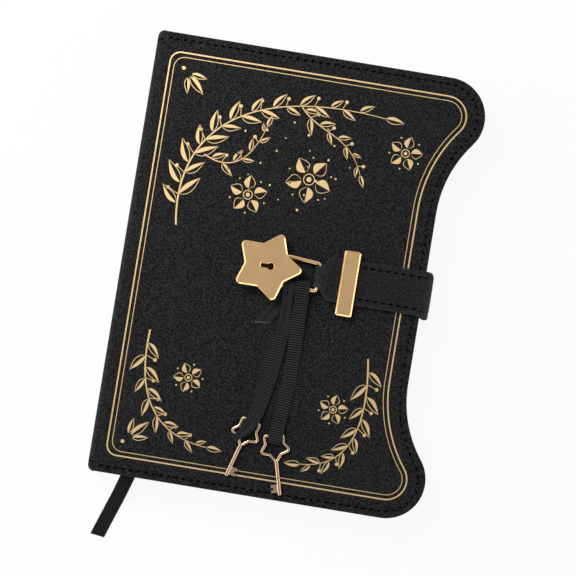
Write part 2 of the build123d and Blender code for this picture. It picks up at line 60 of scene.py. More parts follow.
# Plan of a cover, in millimetres: half its height, and the centre and radius of its fore-edge's two arcs
HALF_HEIGHT = 108.0
LOBE = (62.4, 88.9, 19.1)
SCOOP = (123.5, 41.9, 58.0)
COVER_TOP = 19.8

# Stitches, in millimetres and degrees: the covers' rows, which drift in at the fore-edge, and the spine's
STITCH_INSET = 3.4
STITCH_DRIFT = 0.35
STITCH_DRIFT_FROM_X = 55.0
STITCH_DRIFT_OVER = 20.0
STITCH_START_X = -77.0
STITCH_SLANT = 12.0
STITCH_DIVE = 0.22
# Rows by cover, body, level and way up
STITCH_ROWS = (("front", "front_cover", 19.68, 1.0), ("back", "root", 0.46, -1.0))
SPINE_STITCHES = ((-80.6, 103.0), (-79.2, 103.5))
SPINE_STITCH_Z = 19.6

# Foil, in millimetres: its depth in the leather, and its rules by inset, left edge and weight
FOIL_DEPTH = 0.05
FOIL_RULES = ((9.2, -73.6, 1.0), (11.4, -71.4, 0.5))
RULE_CORNER = 5.0
CORNER_LEAVES = (-64.6, 89.6)
# Boughs: the curve's four points and how many are drawn, the leaves, their length, the stem's half width
FOIL_BOUGHS = (
    (((-58.0, 16.0), (-66.0, 62.0), (-34.0, 90.0), (34.0, 83.0)), 90, 21, 13.5, 0.42),
    (((-50.0, 52.0), (-34.0, 44.0), (-26.0, 56.0), (-22.0, 70.0)), 40, 7, 9.0, 0.3),
    (((-8.0, 83.6), (2.0, 70.0), (18.0, 74.0), (26.0, 54.0)), 40, 8, 9.0, 0.3),
    (((44.3, -33.0), (49.2, -62.0), (45.6, -87.0), (20.0, -88.5)), 70, 13, 11.5, 0.4),
    (((-62.0, -36.0), (-64.0, -66.0), (-54.0, -86.0), (-26.0, -88.0)), 70, 13, 11.0, 0.4),
)
# Flowers: centre, radius, and turn in radians
FOIL_FLOWERS = (
    ((-26.0, 36.0), 9.0, 0.3),
    ((2.0, 48.0), 11.0, 0.9),
    ((46.0, 68.0), 8.0, 0.1),
    ((-40.0, -56.0), 7.0, 0.7),
    ((31.5, -60.0), 7.0, 0.2),
)
DOTS = 26
DOTS_CENTRE = (-8.0, 54.0)
DOTS_REACH = (6.0, 4.4)

# Strap, in millimetres: middle line, half width, places in X with the half width there, a layer's thickness
STRAP_Y = 2.3
STRAP_HALF = 10.9
STRAP_TAPER = ((14.9, 15.8, 17.2, 19.6, 20.6), (5.2, 5.9, 8.2, 10.7, STRAP_HALF))
LAYER = 0.9
# Its layers by name, height of the middle over the strap's inner face, and height of the root
STRAP_LAYERS = (("skin", 1.35, 1.25), ("lining", 0.45, 2.15))
# Its inner face by the fore-edge and over the cover, its root, its fold round the ring, its layers' ends
STRAP_SIDE_X = 67.8
STRAP_OVER_Z = 20.1
STRAP_ROOT_X = 66.95
FOLD_CENTRE = (14.2, 22.3)
FOLD_RADIUS = 1.75
STRAP_END = (33.6, 20.55)
LINING_END_X = 33.7
# Where its sewn part starts, and how many points are drawn round its root and its bend
SEWN_FROM_X = 32.9
ROOT_POINTS = 10
BEND_POINTS = 16
# How far its lower edge stands out at the bend, and its upper edge draws in below it
STRAP_SLACK = 1.6
STRAP_PINCH = 2.2
# Its stitches: inset from its edges, pitch, and how deep they lie
STRAP_STITCH_INSET = 3.2
STRAP_STITCH_PITCH = 3.7
STRAP_STITCH_SINK = 0.16

# Routes of the ribbons' middle lines, in millimetres
RIBBON_ROUTES = {
    "left": [
        (1.02, -9.5, 20.30), (1.02, -5.4, 20.45), (1.02, -1.7, 20.70), (1.02, -1.7, 23.95),
        (1.04, -7.6, 23.90), (1.60, -15.6, 21.10), (1.65, -26.6, 20.65), (-0.70, -49.6, 20.55),
        (-3.70, -64.6, 20.80), (-5.20, -69.2, 22.50), (-7.00, -73.8, 22.70), (-9.60, -77.6, 22.70),
        (-13.65, -81.6, 22.70), (-13.70, -81.65, 19.90), (-7.30, -73.6, 20.10),
    ],
    "right": [
        (7.85, -9.5, 20.30), (7.75, -5.4, 20.45), (7.65, -0.9, 20.70), (7.65, -0.9, 23.95),
        (7.70, -7.6, 23.90), (7.85, -15.6, 21.75), (8.20, -26.6, 21.35), (8.70, -49.6, 20.60),
        (6.80, -69.6, 20.80), (6.40, -74.2, 22.45), (5.95, -80.7, 22.45), (5.90, -80.8, 20.05),
        (6.45, -74.0, 20.10),
    ],
}
BOOKMARK_ROUTE = [
    (-60.30, -96.0, 11.05), (-60.35, -103.0, 11.05), (-62.10, -109.5, 10.55), (-63.85, -115.0, 7.05),
    (-65.90, -121.0, 1.60), (-68.40, -128.0, 0.40), (-73.00, -141.8, 0.25),
]
# Cut ends that lie out from under the strands: name, from, to, the body that each rides, the cut's skew
RIBBON_TAILS = {
    "left": (
        ("cut_end", (1.4, -7.6), (-9.0, -24.0), "clasp", -0.75),
        ("return_end", (-6.4, -76.0), (-0.9, -27.0), "ribbon_left", 0.0),
    ),
    "right": (("cut_end", (7.9, -14.0), (11.9, -66.8), "ribbon_right", 0.0),),
}
CUT_END_Z = 20.06
# Ribs show in a span of Y and fade at its lower and upper end, in metres
EVERYWHERE = (-1.0, 1.0)
RIB_FADE = (0.006, 0.012)
# Places in Y, in metres, with the share of its width that a strand is gathered to there
LEFT_GATHER = ((-0.0805, -0.0745, -0.024, -0.010, -0.0065), (0.5, 1.0, 1.0, 0.78, 1.0))
RIGHT_GATHER = ((-0.0806, -0.0780), (0.92, 1.0))
# Strands, in metres: side, length, width, the contrast of the ribs' painted highlight and shade, the span of
# Y that is ribbed, and the gathering
RIBBON_STRANDS = (
    ("left", 0.105, 0.0064, 0.8, (-0.074, -0.018), LEFT_GATHER),
    ("right", 0.098, 0.0068, 1.0, EVERYWHERE, RIGHT_GATHER),
)
# Thickness, steps to a rib, and the cut ends' width, share of the ribs' height, and length in ribs of the
# sealed edge that carries a painted highlight
RIBBON_THICK = 0.0004
STEPS_PER_RIB = 6
CUT_END_WIDTH = 0.0062
CUT_END_RIB = 0.6
SEALED_HIGHLIGHT_RIBS = 0.36
# Bookmark, in metres: its place and ends in the leaves, thickness, rib pitch and tint of the ribbons' colour
BOOKMARK_X = -0.0603
BOOKMARK_Z = 0.01105
BOOKMARK_ENDS = (-0.0955, 0.1038)
BOOKMARK_THICK = 0.00025
BOOKMARK_PITCH = 0.0009
BOOKMARK_TINT = (0.62, 0.62, 0.70)

# Stage, in metres: half the floor's side, how much it glows to the eye, the room's light, the camera's place
FLOOR_HALF = 3.0
FLOOR_GLOW = 0.92
ROOM_LIGHT = 0.26
CAMERA_SPOT = (0.0005, -0.0054)
# Lamps by name, place, size and power, and the spot that all are aimed at
LAMPS = (
    ("key_lamp", (-0.46, 0.46, 0.78), (0.36, 0.36), 6.6),
    ("left_strip", (-0.62, 0.0, 0.20), (0.9, 0.36), 3.0),
    ("right_strip", (0.62, -0.10, 0.075), (0.9, 0.14), 1.6),
    ("near_strip", (0.12, -0.66, 0.075), (0.9, 0.14), 1.2),
)
LAMP_AIM = (0.0, 0.0, 0.02)

# Brushed lines of the metals, as scales in X, Y and Z
BRUSHED_IN_Y = (3500.0, 60.0, 3500.0)
BRUSHED_IN_X = (60.0, 3000.0, 3000.0)
PLATE_LINES = (900.0, 60.0, 900.0)
POLISHED = (300.0, 300.0, 300.0)


def math_method(operation, reflected=False):
    """An operator of signals, as one Math node. The reflected form has its two sides changed over."""

    def method(self, other):
        sides = {0: other, 1: self} if reflected else {0: self, 1: other}
        return self.finish.node("ShaderNodeMath", {"operation": operation}, sides)

    return method


class Signal:
    """One value inside a finish. Arithmetic and comparisons add the Math nodes that work them out."""

    def __init__(self, finish, socket):
        self.finish = finish
        self.socket = socket

    __add__, __radd__ = math_method("ADD"), math_method("ADD", True)
    __sub__, __rsub__ = math_method("SUBTRACT"), math_method("SUBTRACT", True)
    __mul__, __rmul__ = math_method("MULTIPLY"), math_method("MULTIPLY", True)
    __truediv__, __rtruediv__ = math_method("DIVIDE"), math_method("DIVIDE", True)
    __gt__, __lt__ = math_method("GREATER_THAN"), math_method("LESS_THAN")


class Finish:
    """A material or world being made: its node tree, its shader, and one method that adds any node."""

    def __init__(self, name, owner=None):
        self.material = owner or bpy.data.materials.new(name)
        self.material.use_nodes = True
        self.tree = self.material.node_tree
        self.shader = self.tree.nodes["Background" if owner else "Principled BSDF"]

    def feed(self, socket, value):
        if isinstance(value, Signal):
            self.tree.links.new(value.socket, socket)
        elif socket.type == "RGBA":
            socket.default_value = (*value, 1.0)
        else:
            socket.default_value = value

    def node(self, kind, settings=None, values=None, out=0):
        node = self.tree.nodes.new(kind)
        for key, value in (settings or {}).items():
            if key == "stops":
                for element, (place, level) in zip(node.color_ramp.elements, value):
                    element.position = place
                    element.color = (level, level, level, 1.0)
            else:
                setattr(node, key, value)
        for key, value in (values or {}).items():
            self.feed(node.inputs[key], value)
        return Signal(self, node.outputs[out])

    def place(self, scale=(1.0, 1.0, 1.0), turn=(0.0, 0.0, 0.0)):
        """The point on the object in metres, scaled and turned by a Mapping node."""
        point = self.node("ShaderNodeTexCoord", out="Object")
        return self.node("ShaderNodeMapping", {}, {"Vector": point, "Rotation": turn, "Scale": scale})

    def axes(self, vector):
        """The three parts of a vector as three signals."""
        split = self.node("ShaderNodeSeparateXYZ", {}, {0: vector}).socket.node
        return [Signal(self, output) for output in split.outputs]

    def noise(self, vector, scale, detail=2.0, rough=0.5):
        values = {"Vector": vector, "Scale": scale, "Detail": detail, "Roughness": rough}
        return self.node("ShaderNodeTexNoise", {}, values)

    def ramp(self, value, low, high):
        """A rise from 0 to 1 between two levels of a value."""
        return self.node("ShaderNodeValToRGB", {"stops": ((low, 0.0), (high, 1.0))}, {0: value})

    def seen(self):
        """1 on rays from the camera, a mirror or glass, and 0 on the rays that light a dull surface."""
        path = self.node("ShaderNodeLightPath").socket.node
        keys = ("Is Camera Ray", "Is Glossy Ray", "Is Transmission Ray")
        camera, glossy, through = (Signal(self, path.outputs[key]) for key in keys)
        return self.clamp(camera + glossy + through)

    def clamp(self, value):
        return self.node("ShaderNodeClamp", {}, {0: value})

    def sine(self, value):
        return self.node("ShaderNodeMath", {"operation": "SINE"}, {0: value})

    def mix(self, factor, one, two):
        """A colour between two colours, by a factor from 0 to 1."""
        settings = {"data_type": "RGBA", "clamp_factor": True}
        return self.node("ShaderNodeMix", settings, {0: factor, 6: one, 7: two}, out=2)

    def done(self, **sockets):
        """Feed the shader's sockets, whose names are given with _ for a space, and hand over the material."""
        for key, value in sockets.items():
            self.feed(self.shader.inputs[key.replace("_", " ")], value)
        return self.material

    def surface(self, tone, rough, height, depth, strength, **sockets):
        """Feed the shader a tone, a roughness and a bump of a height, and any other sockets."""
        values = {"Height": height, "Distance": depth, "Strength": strength}
        relief = self.node("ShaderNodeBump", {}, values, out="Normal")
        return self.done(Base_Color=tone, Roughness=rough, Normal=relief, **sockets)


def shade(colour, share):
    """A colour with each of its parts times a share."""
    return tuple(share * c for c in colour)


def paint(material, *nodes):
    """Put a material on CAD nodes, in their own slots."""
    for name in nodes:
        mesh_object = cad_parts[name]
        if not mesh_object.material_slots:
            mesh_object.data.materials.append(material)
        for slot in mesh_object.material_slots:
            slot.material = material


def leather_finish(name, colour, grain, contrast=1.0, worn_with_highlights=False):
    """Matte leatherette: pebbled cells in relief, pale and dark flecks and faint clouds. A piece worn and
    with painted highlights is paler where its UV map says, by a share that stands for edge wear and painted
    highlights."""
    f = Finish(name)
    point = f.place()
    pebbles = {"Vector": point, "Scale": 1.0 / grain, "Smoothness": 0.6}
    cells = f.node("ShaderNodeTexVoronoi", {"feature": "SMOOTH_F1"}, pebbles)
    fine = f.noise(point, 2.2 / grain, 2.0, 0.6)
    flecks = f.ramp(f.noise(point, 1.2 / grain, 2.0, 0.55), 0.43, 0.60)
    cloud = f.noise(point, 24.0, 2.0, 0.5)
    level = flecks * contrast + cloud * 0.14 + (0.4 - 0.5 * contrast)
    tone = f.mix(level, shade(colour, 0.03), shade(colour, 3.3))
    if worn_with_highlights:
        wear_and_highlight, _, _ = f.axes(f.node("ShaderNodeUVMap", {"uv_map": "weave"}))
        # Paler by the UV map's share: edge wear, and painted highlights on the strap's tab, bend and edges
        tone = f.mix(wear_and_highlight * (0.55 + flecks * 0.45), tone, shade(colour, 5.0))
    rough = 0.56 + fine * 0.2 - flecks * 0.08
    height = cells * 0.5 + fine * 0.3 + flecks * 0.5
    return f.surface(tone, rough, height, 0.00016, 0.7, Specular_IOR_Level=0.1)


def thread_finish(name, colour):
    """Waxed thread: two plies that twist along the stitch, with a painted dull sheen on each ply: its tone is
    paler along the twist.
    """
    f = Finish(name)
    x, y, _ = f.axes(f.place())
    twist_and_sheen = f.sine((x + y) * 9000.0) * 0.5 + 0.5
    fuzz = f.noise(f.place(), 5200.0, 2.0)
    # Painted sheen: the tone is paler on the plies along the twist
    tone = f.mix(twist_and_sheen * 0.5 + fuzz * 0.3, colour, shade(colour, 2.4))
    return f.surface(tone, 0.7 + fuzz * 0.2, twist_and_sheen, 0.00006, 0.6, Specular_IOR_Level=0.02)


def metal_finish(name, colour, shine, brush, relief=0.35, painted_shade_inside=False):
    """Plated metal: fine brushed lines, cloudy plating and hairline marks. A plate with painted shade inside
    has a dark brown face, painted shade, where its own normal points up, so that its keyhole reads as shaded."""
    f = Finish(name)
    lines = f.noise(f.place(brush), 1.0, 3.0, 0.6)
    cloud = f.noise(f.place(), 130.0, 3.0, 0.55)
    hairs = f.noise(f.place((900.0, 160.0, 900.0), (0.0, 0.0, 0.6)), 1.0, 4.0, 0.7)
    marks = f.ramp(hairs, 0.66, 0.74)
    pale = tuple(min(1.0, 1.1 * c) for c in colour)
    tone = f.mix(lines * 0.6 + cloud * 0.5 - 0.05, shade(colour, 0.84), pale)
    rough = shine + lines * 0.1 + cloud * 0.06 + marks * 0.08
    if painted_shade_inside:
        _, _, up = f.axes(f.node("ShaderNodeTexCoord", out="Normal"))
        # Painted shade: dark brown on the plate's upward faces, seen through the keyhole
        tone = f.mix(up > 0.5, tone, (0.020, 0.010, 0.006))
    return f.surface(tone, rough, lines + marks * 0.4, 0.00002, relief, Metallic=1.0)


def foil_finish(name, colour):
    """Hot-stamped gold foil: bright metal that follows the leather's grain and is rubbed thin in specks."""
    f = Finish(name)
    point = f.place()
    grain = f.noise(point, 2600.0, 2.0, 0.6)
    rubbed = f.ramp(f.noise(point, 900.0, 3.0, 0.7), 0.56, 0.74)
    tone = f.mix(rubbed * 0.55 + grain * 0.2, colour, shade(colour, 0.38))
    rough = 0.4 + grain * 0.16 + rubbed * 0.1
    return f.surface(tone, rough, grain, 0.00005, 0.5, Metallic=1.0)


def ribbon_finish(name, colour, contrast, ribs=EVERYWHERE, grainy=0.14, sealed_highlight_from=None):
    """Grosgrain: cross threads on ribs by the ribbon's UV map, with a painted highlight on the ribs' backs
    and painted shade between them. The ribs show in a span of Y and fade at its ends; outside it lengthwise
    folds are painted as pale and dark stripes of painted highlight and shade. A cut end is sealed, with a
    painted highlight on it, beyond a number of ribs."""
    f = Finish(name)
    warp_threads = 14.0
    along, across, _ = f.axes(f.node("ShaderNodeUVMap", {"uv_map": "weave"}))
    _, y, _ = f.axes(f.place())
    clear = f.clamp((ribs[1] - y) / RIB_FADE[1]) * f.clamp((y - ribs[0]) / RIB_FADE[0])
    # Painted highlight on the ribs' backs and painted shade between them
    rib = f.sine(along * 2.0 * math.pi) * 0.5 * clear + 0.5
    warp = f.sine(across * 2.0 * math.pi * warp_threads) * 0.5 + 0.5
    fuzz = f.noise(f.place(), 1500.0, 3.0, 0.7)
    # Painted highlight and shade of lengthwise folds that the sheet does not have
    painted_fold_shading = f.sine(across * 11.0 + 0.6) * (1.0 - clear) * 0.13
    level = rib * contrast + warp * 0.06 + (fuzz - 0.5) * grainy + painted_fold_shading + (0.47 - 0.5 * contrast)
    tone = f.mix(level, shade(colour, 0.03), shade(colour, 3.3))
    if sealed_highlight_from:
        # Painted highlight: pale grey along the sealed cut edge
        tone = f.mix(along > sealed_highlight_from, tone, (0.13, 0.13, 0.13))
    height = warp * rib + fuzz * 0.5
    return f.surface(tone, 0.66 + fuzz * 0.2, height, 0.00006, 0.6, Specular_IOR_Level=0.05)


def paper_finish(name, colour, ruled):
    """Uncoated paper: leaf edges as fine lines over the height, fibres, and ruled lines if asked for."""
    f = Finish(name)
    _, y, _ = f.axes(f.place())
    _, _, up = f.axes(f.node("ShaderNodeTexCoord", out="Normal"))
    face = (up * up) > 0.5
    waver = f.noise(f.place((20.0, 20.0, 400.0)), 1.0, 2.0)
    leaf = f.noise(f.place((6.0, 6.0, 9000.0)), 1.0, 3.0, 0.7)
    edge = f.ramp(leaf + waver * 0.12, 0.42, 0.62)
    fibre = f.noise(f.place(), 1800.0, 3.0, 0.7)
    edge_tone = f.mix(edge, shade(colour, 0.6), colour)
    page_tone = f.mix(fibre * 0.7, colour, shade(colour, 0.93))
    if ruled:
        line_step, line_share, half_page = 0.008, 0.035, 0.09
        step = f.node("ShaderNodeMath", {"operation": "FRACT"}, {0: y / line_step + 100.5})
        on_line = (step < line_share) * ((y * y) < half_page**2)
        page_tone = f.mix(on_line * 0.7, page_tone, (0.42, 0.45, 0.5))
    tone = f.mix(face, edge_tone, page_tone)
    height = fibre * 0.4 + edge * (1.0 - face)
    return f.surface(tone, 0.82 + fibre * 0.1, height, 0.00005, 0.5, Specular_IOR_Level=0.25)


def cloth_finish(name, colour, pitch, stripe=None):
    """Plain woven cloth: threads over and under at a pitch, striped if a second colour is given."""
    f = Finish(name)
    x, y, z = f.axes(f.place())
    turns = 2.0 * math.pi / pitch
    weave = f.sine((x + y) * turns) * f.sine(z * turns) * 0.5 + 0.5
    fuzz = f.noise(f.place(), 2400.0, 2.0)
    tone = f.mix(weave * 0.5 + fuzz * 0.4, shade(colour, 0.6), colour)
    if stripe:
        stripe_pitch = 0.0016
        tone = f.mix(f.sine(z * 2.0 * math.pi / stripe_pitch) > 0.0, tone, stripe)
    return f.surface(tone, 0.85 + fuzz * 0.1, weave, 0.0001, 0.6)


def endpaper_finish(name, colour):
    """Dyed endpaper: a faint laid texture of close lines, with fibres."""
    f = Finish(name)
    laid_pitch = 0.0012
    x, _, _ = f.axes(f.place())
    laid = f.sine(x * 2.0 * math.pi / laid_pitch) * 0.5 + 0.5
    fibre = f.noise(f.place((1.0, 3.0, 1.0)), 900.0, 4.0, 0.7)
    tone = f.mix(fibre * 0.7 + laid * 0.2, shade(colour, 0.7), shade(colour, 1.5))
    height = fibre + laid * 0.4
    return f.surface(tone, 0.75 + fibre * 0.15, height, 0.00008, 0.5, Specular_IOR_Level=0.25)


def add_object(name, data):
    """Make an object of a mesh, a lamp or a camera, and link it to the scene."""
    made = bpy.data.objects.new(name, data)
    bpy.context.scene.collection.objects.link(made)
    return made


def add_piece(name, shape, material, body=None):
    """Make a mesh object from points in metres, faces and any UV map, smooth where it is round, and ride it
    on a body if one is given."""
    verts, faces, *maps = shape
    mesh = bpy.data.meshes.new(name)
    mesh.from_pydata(verts.tolist(), [], [list(map(int, face)) for face in faces])
    for uv in maps:
        layer = mesh.uv_layers.new(name="weave")
        order = np.empty(len(mesh.loops), dtype=np.int64)
        mesh.loops.foreach_get("vertex_index", order)
        layer.data.foreach_set("uv", uv[order].astype(np.float32).ravel())
    mesh.validate()
    mesh.set_sharp_from_angle(angle=math.radians(40.0))
    piece = add_object(name, mesh)
    mesh.materials.append(material)
    if body:
        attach(piece, body)
    return piece


def tube_faces(rows, around):
    """Quads of a closed section carried over rows, and a cap on each end."""
    row = np.arange(rows - 1)[:, None] * around
    here = np.arange(around)[None, :]
    after = (here + 1) % around
    corners = [row + here, row + after, row + around + after, row + around + here]
    quads = np.stack(corners, axis=-1).reshape(-1, 4)
    caps = [list(range(around))[::-1], list(range((rows - 1) * around, rows * around))]
    return quads.tolist() + caps


def sweep(centres, sides, ups, section):
    """Carry a closed section along a path: centre + across * side + height * up, row by row."""
    verts = centres[:, None, :] + section[..., 0:1] * sides[:, None, :] + section[..., 1:2] * ups[:, None, :]
    return verts.reshape(-1, 3), tube_faces(*verts.shape[:2])


def unit(vectors):
    """Vectors divided by their own length."""
    return vectors / np.linalg.norm(vectors, axis=-1, keepdims=True)


def spaced(points, step):
    """Points at an even step along a line, by linear interpolation on its length, and the length at each."""
    runs = np.r_[0.0, np.cumsum(np.linalg.norm(np.diff(points, axis=0), axis=1))]
    count = max(2, int(round(runs[-1] / step)) + 1)
    at = np.linspace(0.0, runs[-1], count)
    return np.stack([np.interp(at, runs, points[:, k]) for k in range(points.shape[1])], axis=1), at


def arc(centre, radius, start, end, count=40):
    """Points on a circle between two angles in degrees."""
    angle = np.radians(np.linspace(start, end, count))
    return np.stack([centre[0] + radius * np.cos(angle), centre[1] + radius * np.sin(angle)], axis=1)


def edge_line(inset, left_x):
    """Head, fore-edge and tail of a cover drawn in by an inset: the head's line, the lobe's arc with its
    radius less the inset, the scoop's arc with its radius plus the inset, and the same mirrored in Y."""
    turn = math.degrees(math.atan2(LOBE[1] - SCOOP[1], SCOOP[0] - LOBE[0]))
    lobe = arc(LOBE[:2], LOBE[2] - inset, 90.0, -turn)
    scoop = arc(SCOOP[:2], SCOOP[2] + inset, 180.0 - turn, 180.0)
    upper = np.vstack([[(left_x, HALF_HEIGHT - inset)], lobe, scoop])
    return np.vstack([upper, upper[::-1] * (1.0, -1.0)])


def stamp(template, faces, origins, along, across, up):
    """Repeat a small shape: origin + x * along + y * across + z * up for every origin."""
    verts = origins[:, None, :]
    for k, axis in enumerate((along, across, up)):
        verts = verts + template[None, :, k, None] * axis[:, None, :]
    return joined([(points, faces) for points in verts])


def stitch_shape(length, width, dive):
    """One stitch: a six-sided section along the length, broad over its hole and thinner along its tail, with
    a middle line that is a parabola diving into the leather at both ends."""
    along = np.array([-1.0, -0.86, -0.5, -0.1, 0.35, 0.82, 1.0])
    radius = np.array([0.4, 0.86, 1.0, 0.95, 0.74, 0.58, 0.3]) * width / 2
    angle = np.arange(6) * math.pi / 3
    x = np.repeat(along[:, None] * length / 2, 6, axis=1)
    y = radius[:, None] * np.cos(angle)[None, :]
    z = 0.8 * radius[:, None] * np.sin(angle)[None, :] - dive * along[:, None] ** 2
    return np.stack([x, y, z], axis=-1).reshape(-1, 3), tube_faces(len(along), 6)


def stitch_row(path, tops, pitch, sizes):
    """Stitches along a path in millimetres, one every pitch, turned by the slant about the surface's up, and
    drawn tighter, down to two thirds, where the path runs along Y. The ups go with lengths of the path."""
    line, at = spaced(path, pitch)
    middles = (line[:-1] + line[1:]) / 2
    tangent = unit(line[1:] - line[:-1])
    middle_at = (at[:-1] + at[1:]) / 2
    up = unit(np.stack([np.interp(middle_at, tops[0], tops[1][:, k]) for k in range(3)], axis=1))
    across = np.cross(up, tangent)
    turn = math.radians(STITCH_SLANT)
    along = unit(tangent * math.cos(turn) + across * math.sin(turn))
    across = np.cross(up, along)
    shape, faces = stitch_shape(sizes.stitch_length / MM, sizes.thread_width / MM, STITCH_DIVE)
    tight = 1.0 - 0.34 * np.abs(tangent[:, 1:2])
    return stamp(shape, faces, middles, along * tight, across, up)


def joined(parts):
    """Several shapes as one: their points in a row, and their faces counted on."""
    verts = np.vstack([part[0] for part in parts])
    faces = []
    count = 0
    for points, part_faces in parts:
        faces.extend([[corner + count for corner in face] for face in part_faces])
        count += len(points)
    return verts, faces


def foil_band(one, two, low, high):
    """Flat foil between two edges: at every row both edges, each at the low and the high level."""
    corners = ((one, low), (two, low), (two, high), (one, high))
    ring = np.stack([np.column_stack([edge, np.full(len(edge), level)]) for edge, level in corners], axis=1)
    return ring.reshape(-1, 3), tube_faces(len(one), 4)


def ray(angle):
    """A step of 1 in the plane, at an angle in radians."""
    return np.array([math.cos(angle), math.sin(angle)])


def line_edges(points, half):
    """The two edges of a line: its path moved to each side by half the width along its normal."""
    tangent = unit(np.gradient(points, axis=0))
    normal = np.stack([-tangent[:, 1], tangent[:, 0]], axis=1)
    half = np.broadcast_to(half, (len(points),))[:, None]
    return points + normal * half, points - normal * half


def foil_dot(centre, radius):
    """The two edges of a round foil dot: across its diameter, half a chord to each side."""
    angle = np.linspace(0.03, math.pi - 0.03, 11)
    x = centre[0] - radius * np.cos(angle)
    half = radius * np.sin(angle)
    return np.column_stack([x, centre[1] + half]), np.column_stack([x, centre[1] - half])


def foil_leaf(base, heading, length, width, curl=0.0):
    """A leaf's edges: an axis bent as a parabola, with an edge width / 2 * sin(pi * u ** 0.75) to each side.
    One half is solid up to a bare rib, and the other is only a line along its edge."""
    u = np.linspace(0.02, 0.985, 13)
    direction = ray(heading)
    normal = np.array([-direction[1], direction[0]])
    axis = base + length * (u[:, None] * direction + curl * (u**2)[:, None] * normal)
    reach = np.maximum(width / 2 * np.sin(math.pi * u**0.75), 0.12)[:, None]
    rib = np.minimum(0.12, 0.4 * reach)
    line = np.minimum(0.34, 0.55 * reach)
    solid = axis + reach * normal, axis + rib * normal
    drawn = axis - (reach - line) * normal, axis - reach * normal
    return [solid, drawn]


def bezier(points, count):
    """A cubic curve: the four points weighed by (1-t)^3, 3t(1-t)^2, 3t^2(1-t) and t^3."""
    t = np.linspace(0.0, 1.0, count)[:, None]
    p0, p1, p2, p3 = np.array(points)
    return (1 - t) ** 3 * p0 + 3 * t * (1 - t) ** 2 * p1 + 3 * t**2 * (1 - t) * p2 + t**3 * p3


def foil_bough(curve, leaves, leaf_length, stem):
    """A bough: a stem that thins to its tip, leaves on its two sides by turns and at the tip, and berries."""
    bands = [line_edges(curve, np.linspace(stem, 0.4 * stem, len(curve)))]
    tangent = unit(np.gradient(curve, axis=0))
    for k, t in enumerate(np.linspace(0.08, 0.94, leaves)):
        i = int(t * (len(curve) - 1))
        side = 1.0 if k % 2 == 0 else -1.0
        heading = math.atan2(tangent[i, 1], tangent[i, 0])
        size = leaf_length * (1.0 - 0.45 * t) * (1.0 if k % 3 else 0.86)
        out = heading + side * math.radians(52.0 - 14.0 * t)
        bands += foil_leaf(curve[i] + 0.5 * ray(out), out, size, 0.36 * size, -0.14 * side)
        if k % 2:
            stalk = ray(heading - side * math.radians(66.0))
            reach = 0.42 * size
            bands.append(line_edges(np.linspace(curve[i], curve[i] + stalk * reach, 5), 0.16))
            bands.append(foil_dot(curve[i] + stalk * (reach + 0.8), 0.85))
    last = math.atan2(tangent[-1, 1], tangent[-1, 0])
    return bands + foil_leaf(curve[-1], last, 0.7 * leaf_length, 0.26 * leaf_length)


def foil_flower(centre, radius, turn):
    """A five-petalled flower: leaves about a ring of line, dots between them and a dot in the middle."""
    bands = []
    for k in range(5):
        heading = turn + 2.0 * math.pi * k / 5
        bands += foil_leaf(centre + 0.34 * radius * ray(heading), heading, 0.72 * radius, 0.62 * radius)
        bands.append(foil_dot(centre + 0.98 * radius * ray(heading + math.pi / 5), 0.42))
    bands.append(line_edges(arc(centre, 0.24 * radius, 0.0, 359.0), 0.2))
    bands.append(foil_dot(centre, 0.11 * radius))
    return bands


def cover_foil(line, low, high):
    """The front cover's foil: two rules round the cover, corner leaves, boughs, flowers, and dots on a spiral
    that turns by the golden angle and reaches out by the square root of the dot's number."""
    bands = []
    for inset, left, weight in FOIL_RULES:
        middle, top = left + RULE_CORNER, HALF_HEIGHT - inset
        edge = edge_line(inset, middle)
        upper = arc((middle, top - RULE_CORNER), RULE_CORNER, 180.0, 90.0, 10)
        lower = arc((middle, RULE_CORNER - top), RULE_CORNER, 270.0, 180.0, 10)
        loop, _ = spaced(np.vstack([upper, edge[1:-1], lower, upper[:1]]), 1.2)
        bands.append(line_edges(loop, weight * line))
    for lean in (1.0, -1.0):
        spot = np.array([CORNER_LEAVES[0], lean * CORNER_LEAVES[1]])
        for k, reach in ((-1, 8.0), (0, 11.0), (1, 8.0)):
            heading = math.atan2(-lean, 1.0) + 0.62 * k
            bands += foil_leaf(spot + 2.4 * ray(heading), heading, reach, 0.34 * reach)
        bands.append(foil_dot((spot[0] - 1.9, spot[1] + 1.9 * lean), 0.9))
    for points, count, *leaves in FOIL_BOUGHS:
        bands += foil_bough(bezier(points, count), *leaves)
    for flower in FOIL_FLOWERS:
        bands += foil_flower(*flower)
    golden = math.pi * (3.0 - math.sqrt(5.0))
    for k in range(DOTS):
        x, y = np.array(DOTS_REACH) * math.sqrt(k + 2.0) * ray(k * golden)
        bands.append(foil_dot((DOTS_CENTRE[0] + x, DOTS_CENTRE[1] + y), 0.34 + 0.14 * (k % 3)))
    verts, faces = joined([foil_band(*band, low, high) for band in bands])
    return verts * MM, faces


def spline_points(name, route):
    """Points along a smooth NURBS line whose control points are the route's, in metres."""
    curve = bpy.data.curves.new(name, "CURVE")
    curve.dimensions = "3D"
    curve.resolution_u = 48
    spline = curve.splines.new("NURBS")
    spline.points.add(len(route) - 1)
    spline.points.foreach_set("co", np.column_stack([np.asarray(route) * MM, np.ones(len(route))]).ravel())
    spline.order_u = 3
    spline.use_endpoint_u = True
    holder = bpy.data.objects.new(name, curve)
    mesh = bpy.data.meshes.new_from_object(holder)
    points = np.empty(len(mesh.vertices) * 3)
    mesh.vertices.foreach_get("co", points)
    bpy.data.objects.remove(holder)
    bpy.data.curves.remove(curve)
    bpy.data.meshes.remove(mesh)
    return points.reshape(-1, 3)


